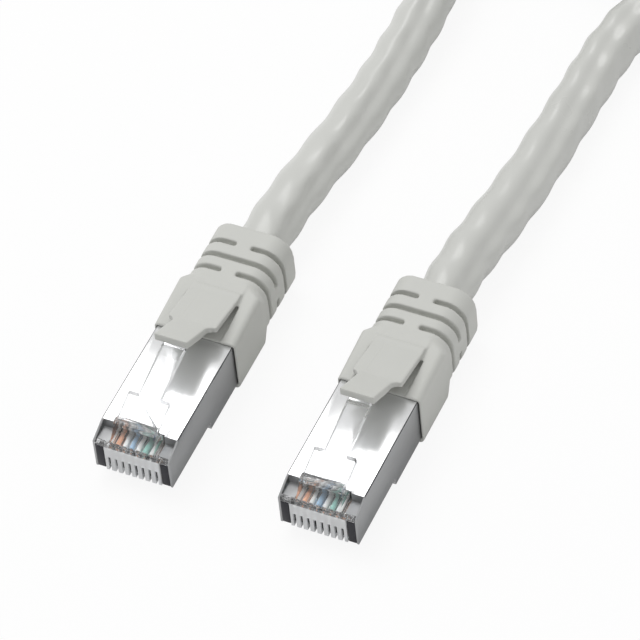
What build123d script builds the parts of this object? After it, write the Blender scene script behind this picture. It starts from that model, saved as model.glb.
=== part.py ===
from build123d import *
import math
import os

# Shielded 8-position patch cable: two crimped plugs with moulded boots on one lead.
# One plug end is drawn in its own frame (nose at y = 0, cable towards +Y, contact side
# at z = 0, latch side up) and then placed twice, side by side, boots on the ground plane.

# ---- driving dimensions, millimetres ----
PLUG_PITCH = 28.0            # distance between the two plug ends as they lie
TAIL_START = 20.5            # where the boots end and the lead shows, along Y
PLUG_WIDTH = 11.68           # across the shield
BODY_TOP = 6.6               # shield top above the contact side
NOSE_DROP = 1.3              # the nose's shoulders lie this far under the shield top
SHIELD_FRONT = 3.6           # where the shield's top plate starts
SHIELD_REAR = 23.0
SHEET = 0.3                  # shield sheet thickness
STEP_Y = 12.4                # the rear half of the plug is deeper from here
STEP_DEPTH = 1.2
CENTRE_HALF = 3.3            # half width of the raised block under the latch root
CONTACT_COUNT = 8
CONTACT_PITCH = 1.02
TAB_DEPTH = 0.55             # pocket in each nose shoulder for a shield tab
BLADE_THICKNESS = 0.35
BLADE_LENGTH = 5.2
BLADE_FRONT = 0.35
BLADE_LOW = 0.5              # the blades' contact edge, above the contact side
TEETH = (1.9, 3.7)           # the blade's teeth, behind its front edge
WIRE_START = 1.4
LOAD_BAR_START = 8.6
LOAD_BAR_LENGTH = 4.0
FAN_START = 13.6             # the cores leave their row here
FAN_END = 22.0               # and lie in their pairs from here
CABLE_RADIUS = 3.6
JACKET_WALL = 0.53
SCREEN_WALL = 0.15
CABLE_DROP = 3.7             # the cable's axis lies this far under the shield top
SLEEVE_LENGTH = 4.4
SLEEVE_WALL = 0.35
BOOT_FRONT = 21.0
BOOT_BODY_END = 29.6
COLLAR_START = 31.2
BOOT_REAR = 41.0
BOOT_HALF_WIDTH = 6.25
BOOT_CORNER = 0.9
BOOT_RISES = (0.55, 1.3)     # boot top above the shield top, at its front and at its neck
COLLAR_HALF_WIDTH = 6.0
COLLAR_HALF_HEIGHT = 5.1
GROOVE_ROWS = (32.6, 35.1, 37.7)
GROOVE_WIDTH = 0.8
GROOVE_DEPTH = 1.1
BRIDGE = 2.3
LATCH_HALF_WIDE = 3.11
LATCH_HALF_NARROW = 1.63
LATCH_THICKNESS = 1.1
LATCH_SHOULDER = 7.0
LATCH_END = 15.6
LATCH_RISES = (1.1, 1.7, 2.9, 4.6)   # root, front, shoulder and end above the shield top
LATCH_ROOT_Y = 2.4
LATCH_ROOT_RADIUS = 0.55
GUARD_FRONT = 14.6
GUARD_HALF_FRONT = 2.55
GUARD_HALF_REAR = 3.7
GUARD_SHELL = 1.4
HUMP_SHELL = 1.05
GUARD_SHOULDER = 18.5        # the tongue ends here and widens over an arc
GUARD_HUMP = 21.0            # the full-width hump starts here
GUARD_RISES = (6.8, 3.3, 0.9)        # front, hump and root above the shield top
GUARD_ROOT_Y = 28.6
GUARD_ROOT_RADIUS = 0.8
COIL_CENTRE = (3.9, 130.0)   # the put-away turns lie behind the plugs
COIL_RADIUS = 35.0           # middle of the turns
TIE_WIDTH = 12.0
TIE_THICKNESS = 1.0

# ---- clearances ----
SLIP = 0.05                  # between nested pieces that do not move
RUNNING = 0.3                # between a moving piece and its neighbours

# ---- worked out from the sizes above ----
HALF = PLUG_WIDTH / 2
ROW_HALF = CONTACT_COUNT / 2 * CONTACT_PITCH
CABLE_Z = BODY_TOP - CABLE_DROP
WIRE_RADIUS = 0.128 * CABLE_RADIUS       # insulated core
COPPER_RADIUS = 0.54 * WIRE_RADIUS
LATCH_PIVOT = (LATCH_ROOT_Y, BODY_TOP + LATCH_RISES[0])
GUARD_FRONT_TOP = BODY_TOP + GUARD_RISES[0]
GUARD_HUMP_TOP = BODY_TOP + GUARD_RISES[1]
GUARD_PIVOT = (GUARD_ROOT_Y, BODY_TOP + GUARD_RISES[2])
NOSE_TOP = BODY_TOP - NOSE_DROP
BLOCK_FRONT_TOP = NOSE_TOP - 0.3
WIRE_Z = NOSE_TOP - 1.3      # the row of cores in the nose
INNER_HALF = HALF - SHEET - SLIP
INNER_TOP = BODY_TOP - SHEET - SLIP
COLLAR_BOTTOM = CABLE_Z - COLLAR_HALF_HEIGHT
LIFT = -COLLAR_BOTTOM
WELL_FLOOR = BODY_TOP + RUNNING
CHANNEL_RADIUS = WIRE_RADIUS + SLIP + 0.02
BLADE_SLOT = BLADE_THICKNESS + SLIP
BLADE_TIP = WIRE_Z - COPPER_RADIUS - SLIP
BLADE_SHOULDER = WIRE_Z - WIRE_RADIUS - 0.3
JACKET_INNER = CABLE_RADIUS - JACKET_WALL
SCREEN_OUTER = JACKET_INNER - SLIP
SCREEN_INNER = SCREEN_OUTER - SCREEN_WALL
SLEEVE_START = SHIELD_REAR + 4 * RUNNING
JACKET_START = SLEEVE_START + SLEEVE_LENGTH + RUNNING
COIL_HALF = 2 * CABLE_RADIUS
GUARD_SLOPE = (GUARD_FRONT_TOP - GUARD_HUMP_TOP) / (GUARD_HUMP - GUARD_FRONT)

# The lead's route, chosen by hand: boot to coil at each end, axis points in the row frame.
ROUTE_A = [
    (PLUG_PITCH / 2, TAIL_START, COLLAR_HALF_HEIGHT),
    (PLUG_PITCH / 2, 27.8, COLLAR_HALF_HEIGHT),
    (15.1, 37.0, CABLE_RADIUS + 0.9),
    (16.1, 48.0, CABLE_RADIUS + 0.1),
    (16.8, 62.5, CABLE_RADIUS),
    (17.5, 80.1, CABLE_RADIUS),
    (23.3, 94.4, CABLE_RADIUS),
    (33.9, 105.6, CABLE_RADIUS),
]
ROUTE_B = [
    (-PLUG_PITCH / 2, TAIL_START, COLLAR_HALF_HEIGHT),
    (-PLUG_PITCH / 2, 27.8, COLLAR_HALF_HEIGHT),
    (-13.3, 37.0, CABLE_RADIUS + 0.9),
    (-12.1, 48.0, CABLE_RADIUS + 0.1),
    (-11.0, 62.5, CABLE_RADIUS + 0.1),
    (-10.5, 80.1, CABLE_RADIUS + 2.0),
    (-15.8, 94.5, CABLE_RADIUS + 4.9),
    (-26.2, 105.9, 3 * CABLE_RADIUS),
]


def block(x0: float, x1: float, y0: float, y1: float, z0: float, z1: float) -> Part:
    """Return a box between six plane positions."""
    centre = Pos((x0 + x1) / 2, (y0 + y1) / 2, (z0 + z1) / 2)
    return centre * Box(x1 - x0, y1 - y0, z1 - z0)


def side_profile(points: list, half_width: float) -> Part:
    """Return a plate drawn in (y, z) and centred on x = 0."""
    face = Plane.YZ * Polygon(*points, align=None)
    return extrude(face, amount=half_width, both=True)


def rod(radius: float, x: float, z: float, y0: float, y1: float) -> Part:
    """Return a round bar along Y."""
    face = Plane.XZ.offset(-y0) * Pos(x, z) * Circle(radius)
    return extrude(face, amount=-(y1 - y0))


def cross_rod(radius: float, pivot: tuple, half_width: float) -> Part:
    """Return a round bar along X through a (y, z) pivot."""
    face = Plane.YZ * Pos(pivot[0], pivot[1]) * Circle(radius)
    return extrude(face, amount=half_width, both=True)


def pin_x(index: int) -> float:
    """Return the x place of one of the contacts."""
    return (index - (CONTACT_COUNT - 1) / 2) * CONTACT_PITCH


# ---- the plug ----
def nose_blank() -> Part:
    """Return the outside of the clear housing, before its slots."""
    side = [
        (0, 0),
        (0, NOSE_TOP),
        (SHIELD_FRONT, NOSE_TOP),
        (SHIELD_FRONT, INNER_TOP),
        (SHIELD_REAR - 2 * SHEET, INNER_TOP),
        (SHIELD_REAR - 2 * SHEET, -STEP_DEPTH + SHEET + SLIP),
        (STEP_Y + SHEET + SLIP, -STEP_DEPTH + SHEET + SLIP),
        (STEP_Y + SHEET + SLIP, 0),
    ]
    seat = LATCH_ROOT_RADIUS + RUNNING
    crest = LATCH_PIVOT[1] - seat + 0.2
    centre = [
        (0, 0),
        (0, BLOCK_FRONT_TOP),
        (LATCH_PIVOT[0] - seat + 0.2, crest),
        (SHIELD_FRONT - SLIP, crest - RUNNING),
        (SHIELD_FRONT - SLIP, 0),
    ]
    blank = side_profile(side, INNER_HALF)
    blank += side_profile(centre, CENTRE_HALF)
    return blank - cross_rod(seat, LATCH_PIVOT, HALF)


def housing() -> Part:
    """Return the clear housing: nose, blade slots, core channels and rear chamber."""
    body = nose_blank()
    for index in range(CONTACT_COUNT):
        x = pin_x(index)
        body -= block(x - BLADE_SLOT / 2, x + BLADE_SLOT / 2, -1, BLADE_LENGTH + 0.6, -1, WIRE_Z)
        body -= rod(CHANNEL_RADIUS, x, WIRE_Z, WIRE_START - SLIP, FAN_START)
    bar_half = ROW_HALF + 0.4
    body -= block(-bar_half, bar_half, LOAD_BAR_START - SLIP, FAN_START, WIRE_Z - 0.85, WIRE_Z + 0.85)
    chamber_floor = CABLE_Z - SCREEN_INNER + 0.17
    body -= block(-bar_half, bar_half, FAN_START - SLIP, SHIELD_REAR, chamber_floor, INNER_TOP - 0.6)
    for side in (-1, 1):
        near, far = sorted((side * (CENTRE_HALF + 0.3), side * (INNER_HALF + 1)))
        body -= block(near, far, 0.8, SHIELD_FRONT, NOSE_TOP - TAB_DEPTH, NOSE_TOP + 1)
        near, far = sorted((side * (ROW_HALF + 0.22), side * (INNER_HALF - 0.35)))
        body -= block(near, far, -1, 1.6, 0.5, NOSE_TOP - 1.2)
    return body


def contacts() -> Compound:
    """Return the row of piercing blades, each with two teeth under its core."""
    low = BLADE_LOW
    front = BLADE_FRONT
    rear = front + BLADE_LENGTH
    first, second = (front + tooth for tooth in TEETH)
    outline = [
        (front + 0.4, low),
        (front, low + 0.4),
        (front, BLADE_SHOULDER - 0.6),
        (front + 0.6, BLADE_SHOULDER),
        (first - 0.3, BLADE_SHOULDER),
        (first, BLADE_TIP),
        (first + 0.3, BLADE_SHOULDER),
        (second - 0.3, BLADE_SHOULDER),
        (second, BLADE_TIP),
        (second + 0.3, BLADE_SHOULDER),
        (rear, BLADE_SHOULDER),
        (rear, low),
    ]
    blade = side_profile(outline, BLADE_THICKNESS / 2)
    return Compound(children=[Pos(pin_x(i), 0, 0) * blade for i in range(CONTACT_COUNT)])


def shield() -> Part:
    """Return the folded sheet shield: top, two sides, rear underside and two front tabs."""
    side = [
        (0.1, 0.1),
        (0.1, NOSE_TOP - 0.1),
        (SHIELD_FRONT, BODY_TOP),
        (SHIELD_REAR, BODY_TOP),
        (SHIELD_REAR, -STEP_DEPTH),
        (STEP_Y, -STEP_DEPTH),
        (STEP_Y, 0.1),
    ]
    shell = block(-HALF, HALF, SHIELD_FRONT, SHIELD_REAR, BODY_TOP - SHEET, BODY_TOP)
    shell += block(-HALF, HALF, STEP_Y, SHIELD_REAR, -STEP_DEPTH, -STEP_DEPTH + SHEET)
    shell += block(-HALF, HALF, STEP_Y, STEP_Y + SHEET, -STEP_DEPTH, -SLIP)
    plate = side_profile(side, SHEET / 2)
    tab_floor = NOSE_TOP - TAB_DEPTH + SLIP
    for side_sign in (-1, 1):
        shell += Pos(side_sign * (HALF - SHEET / 2), 0, 0) * plate
        near, far = sorted((side_sign * (CENTRE_HALF + 0.45), side_sign * (HALF - SHEET / 2)))
        shell += block(near, far, SHIELD_FRONT - SHEET, SHIELD_FRONT - SLIP, tab_floor, BODY_TOP)
        shell += block(near, far, SHIELD_FRONT - SHEET, SHIELD_FRONT + 0.5, BODY_TOP - SHEET, BODY_TOP)
        shell += block(near, far, 1.0, SHIELD_FRONT - SLIP, tab_floor, tab_floor + 0.2)
    edges = shell.edges().filter_by(Axis.Y).filter_by_position(Axis.Z, BODY_TOP - 0.01, BODY_TOP + 0.01)
    long_edges = [edge for edge in edges if edge.length > SHIELD_REAR - SHIELD_FRONT - 1]
    return fillet(long_edges, SHEET * 0.9)


def load_bar() -> Part:
    """Return the bar that holds the cores side by side."""
    half = ROW_HALF + 0.4 - SLIP
    end = LOAD_BAR_START + LOAD_BAR_LENGTH
    bar = block(-half, half, LOAD_BAR_START, end, WIRE_Z - 0.8, WIRE_Z + 0.8)
    for index in range(CONTACT_COUNT):
        bar -= rod(CHANNEL_RADIUS, pin_x(index), WIRE_Z, LOAD_BAR_START - 1, end + 1)
    return bar


def pair_place(index: int) -> tuple:
    """Return where a core lies in the round cable: outer pairs left and right, inner ones stacked."""
    side = -1 if index < CONTACT_COUNT / 2 else 1
    outer = SCREEN_INNER - WIRE_RADIUS - 0.1
    if index in (0, 7):
        return side * outer, CABLE_Z
    if index in (1, 6):
        return side * (outer - 2 * WIRE_RADIUS - 0.08), CABLE_Z
    beside = WIRE_RADIUS + 0.04
    if index in (2, 5):
        return side * beside, CABLE_Z + 0.6 * SCREEN_INNER
    return side * beside, CABLE_Z - 0.6 * SCREEN_INNER


def core_path(index: int) -> Wire:
    """Return one core's way from the nose, through the fan, into the cable."""
    x = pin_x(index)
    end_x, end_z = pair_place(index)
    points = [(x, WIRE_START, WIRE_Z), (x, FAN_START, WIRE_Z), (end_x, FAN_END, end_z)]
    points.append((end_x, BOOT_REAR - SLIP, end_z))
    return FilletPolyline(*points, radius=1.5)


def core_sweep(index: int, outer: float) -> Part:
    """Return a round bar along one core's path."""
    path = core_path(index)
    section = Plane(origin=path @ 0, z_dir=path % 0) * Circle(outer)
    return sweep(section, path=path)


def insulation(index: int) -> Part:
    """Return one core's insulation, bored for its copper and slit by the blade's teeth."""
    core = core_sweep(index, WIRE_RADIUS) - core_sweep(index, COPPER_RADIUS + 0.02)
    x = pin_x(index)
    for tooth in TEETH:
        y = BLADE_FRONT + tooth
        core -= block(x - BLADE_SLOT / 2, x + BLADE_SLOT / 2, y - 0.35, y + 0.35, 0, BLADE_TIP + SLIP)
    return core


def screen() -> Part:
    """Return the braided screen around the pairs."""
    outer = rod(SCREEN_OUTER, 0, CABLE_Z, SHIELD_REAR + SLIP, BOOT_REAR)
    return outer - rod(SCREEN_INNER, 0, CABLE_Z, 0, BOOT_REAR + 1)


def separator() -> Part:
    """Return the crossed filler that keeps the four pairs apart."""
    length = BOOT_REAR - SHIELD_REAR - 1
    span = 1.5 * SCREEN_INNER
    cross = Box(span, length, 0.4) + Box(0.4, length, span)
    return Pos(0, SHIELD_REAR + 0.9 + length / 2, CABLE_Z) * Rot(0, 45, 0) * cross


def drain_wire() -> Part:
    """Return the bare drain wire under the screen."""
    radius = 0.2
    return rod(radius, 0, CABLE_Z + SCREEN_INNER - radius - 0.15, SHIELD_REAR, BOOT_REAR - SLIP)


def crimp_sleeve() -> Part:
    """Return the sleeve crimped over the folded screen."""
    end = SLEEVE_START + SLEEVE_LENGTH
    inner = SCREEN_OUTER + SLIP
    sleeve = rod(inner + SLEEVE_WALL, 0, CABLE_Z, SLEEVE_START, end)
    return sleeve - rod(inner, 0, CABLE_Z, SLEEVE_START - 1, end + 1)


def jacket_end() -> Part:
    """Return the jacket inside the boot."""
    jacket = rod(CABLE_RADIUS, 0, CABLE_Z, JACKET_START, BOOT_REAR)
    return jacket - rod(JACKET_INNER, 0, CABLE_Z, JACKET_START - 1, BOOT_REAR + 1)


def latch() -> Part:
    """Return the latch: round root, wide front with its shoulders, narrow tail."""
    y0, z0 = LATCH_PIVOT
    front_top, shoulder_top, end_top = (BODY_TOP + rise for rise in LATCH_RISES[1:])
    top = [(y0 + 0.9, front_top), (LATCH_SHOULDER, shoulder_top), (LATCH_END, end_top)]
    bottom = [(LATCH_END, end_top - LATCH_THICKNESS * 0.9), (LATCH_SHOULDER, shoulder_top - LATCH_THICKNESS)]
    outline = [(y0, z0 + LATCH_ROOT_RADIUS)] + top + bottom + [(y0 + 0.3, z0 - 0.46)]
    lever = side_profile(outline, LATCH_HALF_WIDE)
    lever += cross_rod(LATCH_ROOT_RADIUS, LATCH_PIVOT, LATCH_HALF_WIDE)
    for side in (-1, 1):
        near, far = sorted((side * LATCH_HALF_NARROW, side * (LATCH_HALF_WIDE + 1)))
        lever -= block(near, far, LATCH_SHOULDER, LATCH_END + 1, 0, 20)
    return lever


# ---- the boot ----
def boot_section(y: float, half_width: float, bottom: float, top: float, corner: float) -> Sketch:
    """Return one rounded section of the boot at a place along it."""
    face = RectangleRounded(2 * half_width, top - bottom, corner)
    return Plane.XZ.offset(-y) * Pos(0, (top + bottom) / 2) * face


def boot_blank() -> Part:
    """Return the outside of the boot: square body, short neck, rounded collar."""
    low = COLLAR_BOTTOM
    front_top, rear_top = (BODY_TOP + rise for rise in BOOT_RISES)
    body = boot_section(BOOT_FRONT, BOOT_HALF_WIDTH, low, front_top, BOOT_CORNER)
    body_end = boot_section(BOOT_BODY_END, BOOT_HALF_WIDTH, low, rear_top, BOOT_CORNER)
    top = CABLE_Z + COLLAR_HALF_HEIGHT
    collar = boot_section(COLLAR_START, COLLAR_HALF_WIDTH, low, top, 3.2)
    blank = loft([body, body_end])
    blank += loft([body_end, collar])
    return blank + extrude(collar, amount=-(BOOT_REAR - COLLAR_START))


def groove(row: int) -> Part:
    """Return one strain-relief groove, with its bridges left out."""
    y = GROOVE_ROWS[row] - GROOVE_WIDTH / 2
    width = COLLAR_HALF_WIDTH - GROOVE_DEPTH
    top = CABLE_Z + COLLAR_HALF_HEIGHT
    inner = boot_section(y, width, COLLAR_BOTTOM + GROOVE_DEPTH, top - GROOVE_DEPTH, 2.4)
    ring = block(-9, 9, y, y + GROOVE_WIDTH, COLLAR_BOTTOM - 1, top + 1)
    ring -= extrude(inner, amount=-GROOVE_WIDTH)
    if row == 1:
        return ring - block(-9, 9, y - 1, y + 2, CABLE_Z - BRIDGE / 2, CABLE_Z + BRIDGE / 2)
    return ring - block(-BRIDGE / 2, BRIDGE / 2, y - 1, y + 2, COLLAR_BOTTOM - 2, top + 2)


def guard_well() -> Part:
    """Return the space that the boot leaves for the hump and its root."""
    half = GUARD_HALF_REAR + RUNNING
    well = block(-half, half, 0, GUARD_PIVOT[0], WELL_FLOOR, 20)
    return well + cross_rod(GUARD_ROOT_RADIUS + RUNNING, GUARD_PIVOT, half)


def boot() -> Part:
    """Return the moulded boot with its plug pocket, cable bore, grooves and guard well."""
    body = boot_blank()
    body -= block(-HALF - SLIP, HALF + SLIP, 0, SHIELD_REAR + RUNNING, -STEP_DEPTH - SLIP, BODY_TOP + SLIP)
    sleeve_bore = SCREEN_OUTER + SLEEVE_WALL + 3 * SLIP
    body -= rod(sleeve_bore, 0, CABLE_Z, SHIELD_REAR, JACKET_START)
    body -= rod(CABLE_RADIUS + SLIP, 0, CABLE_Z, JACKET_START - SLIP, BOOT_REAR + 1)
    for row in range(len(GROOVE_ROWS)):
        body -= groove(row)
    return body - guard_well()


def guard_line(y: float, depth: float) -> float:
    """Return the height of a line that runs a given depth under the tongue's top."""
    return GUARD_FRONT_TOP - GUARD_SLOPE * (y - GUARD_FRONT) - depth


def guard_plan() -> Part:
    """Return the guard's plan as a tall prism: tongue, hollow shoulders, parallel hump."""
    rear = GUARD_PIVOT[0]
    plan = block(-GUARD_HALF_REAR, GUARD_HALF_REAR, GUARD_HUMP, rear, 0, 20)
    plan += block(-GUARD_HALF_FRONT, GUARD_HALF_FRONT, GUARD_FRONT, GUARD_HUMP, 0, 20)
    reach = GUARD_HALF_REAR - GUARD_HALF_FRONT
    for side in (-1, 1):
        near, far = sorted((side * GUARD_HALF_FRONT, side * GUARD_HALF_REAR))
        web = block(near, far, GUARD_HUMP - reach, GUARD_HUMP, 0, 20)
        hollow = Pos(side * GUARD_HALF_REAR, GUARD_HUMP - reach, 0) * Circle(reach)
        plan += web - extrude(hollow, amount=20)
    return plan


def latch_guard() -> Part:
    """Return the sprung guard over the latch: tongue, hump and a round root."""
    y0, z0 = GUARD_PIVOT
    outline = [
        (GUARD_FRONT, GUARD_FRONT_TOP),
        (GUARD_FRONT, guard_line(GUARD_FRONT, GUARD_SHELL)),
        (GUARD_SHOULDER, guard_line(GUARD_SHOULDER, GUARD_SHELL)),
        (GUARD_HUMP, GUARD_HUMP_TOP - HUMP_SHELL),
        (y0 - 0.3, z0),
        (y0, z0 + GUARD_ROOT_RADIUS),
        (GUARD_HUMP, GUARD_HUMP_TOP),
    ]
    guard = side_profile(outline, GUARD_HALF_REAR + 1) & guard_plan()
    pocket_front = GUARD_FRONT + 0.5
    pocket_rear = GUARD_FRONT + 4.1
    pocket = [
        (pocket_front, 0),
        (pocket_front, guard_line(pocket_front, GUARD_SHELL - 0.45)),
        (pocket_rear, guard_line(pocket_rear, GUARD_SHELL - 0.45)),
        (pocket_rear, 0),
    ]
    guard -= side_profile(pocket, LATCH_HALF_NARROW + 0.35)
    return guard + cross_rod(GUARD_ROOT_RADIUS, GUARD_PIVOT, GUARD_HALF_REAR)


# ---- the lead ----
def route_radii(route: list) -> list:
    """Return each corner's arc radius: 0.45 of the shorter run over the half turn's tangent."""
    radii = []
    for before, here, after in zip(route, route[1:], route[2:]):
        run_in = Vector(*here) - Vector(*before)
        run_out = Vector(*after) - Vector(*here)
        half_turn = math.radians(run_in.get_angle(run_out)) / 2
        radii.append(0.45 * min(run_in.length, run_out.length) / math.tan(half_turn))
    return radii


def cable_tail(name: str, route: list) -> Part:
    """Return the lead's tube from a boot to the coil, on straight runs and tangent arcs."""
    radii = route_radii(route)
    path = FilletPolyline(*route, radius=radii)
    section = Plane(origin=path @ 0, z_dir=path % 0) * Circle(CABLE_RADIUS)
    tube = sweep(section, path=path)
    expected = math.pi * CABLE_RADIUS ** 2 * path.length
    print(name, "radii", [round(radius, 1) for radius in radii])
    print(name, "length", round(path.length, 1), "volume ratio", round(tube.volume / expected, 4))
    return tube


def coil_tie() -> Part:
    """Return the hook-and-loop strap around the bundle of turns."""
    y = COIL_CENTRE[1] + COIL_RADIUS
    outer = COIL_HALF + TIE_THICKNESS
    x = COIL_CENTRE[0]
    top = 2 * COIL_HALF + TIE_THICKNESS
    band = block(x - TIE_WIDTH / 2, x + TIE_WIDTH / 2, y - outer, y + outer, 0, top)
    inner_low = TIE_THICKNESS
    inside = block(x - TIE_WIDTH, x + TIE_WIDTH, y - COIL_HALF, y + COIL_HALF, inner_low, top - TIE_THICKNESS)
    corners = band.edges().filter_by(Axis.X)
    return fillet(corners, 2 * TIE_THICKNESS) - inside


def cable_coil() -> Part:
    """Return the closed outer shape of the coiled turns, notched for its tie."""
    section = Pos(COIL_RADIUS, COIL_HALF) * RectangleRounded(2 * COIL_HALF, 2 * COIL_HALF, CABLE_RADIUS - 0.1)
    ring = revolve(Plane.XZ * section, axis=Axis.Z)
    coil = Pos(COIL_CENTRE[0], COIL_CENTRE[1], 0) * ring
    return coil - coil_tie()


# ---- assembly ----
COLOURED = {"wire_orange": 1, "wire_blue": 3, "wire_green": 5, "wire_brown": 7}
WHITE_CORES = (0, 2, 4, 6)


def plug_end() -> dict:
    """Return every piece of one plug end, in its own frame."""
    pieces = {
        "housing": housing(),
        "contacts": contacts(),
        "shield": shield(),
        "load_bar": load_bar(),
        "latch": latch(),
        "boot": boot(),
        "latch_guard": latch_guard(),
        "crimp_sleeve": crimp_sleeve(),
        "jacket_end": jacket_end(),
        "screen": screen(),
        "separator": separator(),
        "drain_wire": drain_wire(),
    }
    copper = [core_sweep(index, COPPER_RADIUS) for index in range(CONTACT_COUNT)]
    pieces["conductors"] = Compound(children=copper)
    pieces["wires_white"] = Compound(children=[insulation(index) for index in WHITE_CORES])
    for name, index in COLOURED.items():
        pieces[name] = insulation(index)
    return pieces


def build_all() -> dict:
    """Return every node of the part, in the row frame."""
    nodes = {}
    for end, side in (("a", 1), ("b", -1)):
        place = Pos(side * PLUG_PITCH / 2, TAIL_START - BOOT_REAR, LIFT)
        for name, shape in plug_end().items():
            nodes[f"{name}_{end}"] = place * shape
    nodes["cable_tail_a"] = cable_tail("cable_tail_a", ROUTE_A)
    nodes["cable_tail_b"] = cable_tail("cable_tail_b", ROUTE_B)
    nodes["cable_coil"] = cable_coil()
    nodes["coil_tie"] = coil_tie()
    return nodes


os.makedirs("parts", exist_ok=True)
for node_name, node_shape in build_all().items():
    export_step(node_shape, f"parts/{node_name}.step")
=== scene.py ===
"""A shielded network patch cable: two clear plugs with moulded boots on one round lead."""

import logging
import math
from dataclasses import dataclass, field
from enum import Enum, IntEnum
from typing import Any, Sequence

import bpy
import numpy as np
from mathutils import Matrix, Vector


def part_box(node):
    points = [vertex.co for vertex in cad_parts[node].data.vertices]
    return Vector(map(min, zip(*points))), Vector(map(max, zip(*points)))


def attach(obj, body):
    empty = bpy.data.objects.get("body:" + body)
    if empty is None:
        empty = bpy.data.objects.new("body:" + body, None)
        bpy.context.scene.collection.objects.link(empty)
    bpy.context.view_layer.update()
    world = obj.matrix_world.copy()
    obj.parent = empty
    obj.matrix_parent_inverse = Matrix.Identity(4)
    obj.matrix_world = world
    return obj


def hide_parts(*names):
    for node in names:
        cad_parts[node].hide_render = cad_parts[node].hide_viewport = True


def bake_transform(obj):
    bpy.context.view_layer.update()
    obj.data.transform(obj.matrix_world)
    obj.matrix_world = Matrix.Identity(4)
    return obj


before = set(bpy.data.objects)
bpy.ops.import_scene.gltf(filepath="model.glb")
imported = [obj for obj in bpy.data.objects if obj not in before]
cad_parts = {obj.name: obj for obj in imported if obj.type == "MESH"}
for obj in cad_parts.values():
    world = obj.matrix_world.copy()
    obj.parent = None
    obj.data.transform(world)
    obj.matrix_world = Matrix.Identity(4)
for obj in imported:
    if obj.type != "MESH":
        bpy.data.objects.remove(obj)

LOG = logging.getLogger("patch_cable")
MM = 0.001
GRAIN_DEPTH = 0.00002
WHITE = (1.0, 1.0, 1.0, 1.0)
MERGE_GAP = 1e-6
FLAT_ANGLE = math.radians(0.4)
MOULDED_ANGLE = 35.0
ROOT_BODY = "cable_body"
Point = tuple[float, float, float]
Colour = tuple[float, float, float]


class End(Enum):
    """The two ends of the lead."""

    A = "a"
    B = "b"


# ---------------------------------------------------------------- shader building


class Value:
    """One number in a node tree, with arithmetic that adds Math nodes."""

    def __init__(self, recipe: "Recipe", socket: Any) -> None:
        """Keep the recipe and the socket.

        Args:
            recipe: The material that the value belongs to.
            socket: The output socket that carries it.
        """
        self.recipe = recipe
        self.socket = socket

    def _maths(self, operation: str, first: Any, second: Any = None) -> "Value":
        """Add one Math node.

        Args:
            operation: The node's operation.
            first: Its first number or value.
            second: Its second number or value, if it has one.

        Returns:
            The node's result.
        """
        inputs = {0: first} if second is None else {0: first, 1: second}
        node = self.recipe.node("ShaderNodeMath", {"operation": operation}, inputs)
        return Value(self.recipe, node.outputs[0])

    def __add__(self, other: Any) -> "Value":
        """Return self + other."""
        return self._maths("ADD", self, other)

    def __sub__(self, other: Any) -> "Value":
        """Return self - other."""
        return self._maths("SUBTRACT", self, other)

    def __rsub__(self, other: Any) -> "Value":
        """Return other - self."""
        return self._maths("SUBTRACT", other, self)

    def __mul__(self, other: Any) -> "Value":
        """Return self * other."""
        return self._maths("MULTIPLY", self, other)

    def __truediv__(self, other: Any) -> "Value":
        """Return self / other."""
        return self._maths("DIVIDE", self, other)

    def __abs__(self) -> "Value":
        """Return the size of the value."""
        return self._maths("ABSOLUTE", self)

    def above(self, limit: Any) -> "Value":
        """Return 1 where the value is over the limit, else 0."""
        return self._maths("GREATER_THAN", self, limit)

    def lesser(self, other: Any) -> "Value":
        """Return the smaller of two values."""
        return self._maths("MINIMUM", self, other)

    def greater(self, other: Any) -> "Value":
        """Return the larger of two values."""
        return self._maths("MAXIMUM", self, other)

    def root(self) -> "Value":
        """Return the square root."""
        return self._maths("SQRT", self)


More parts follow.
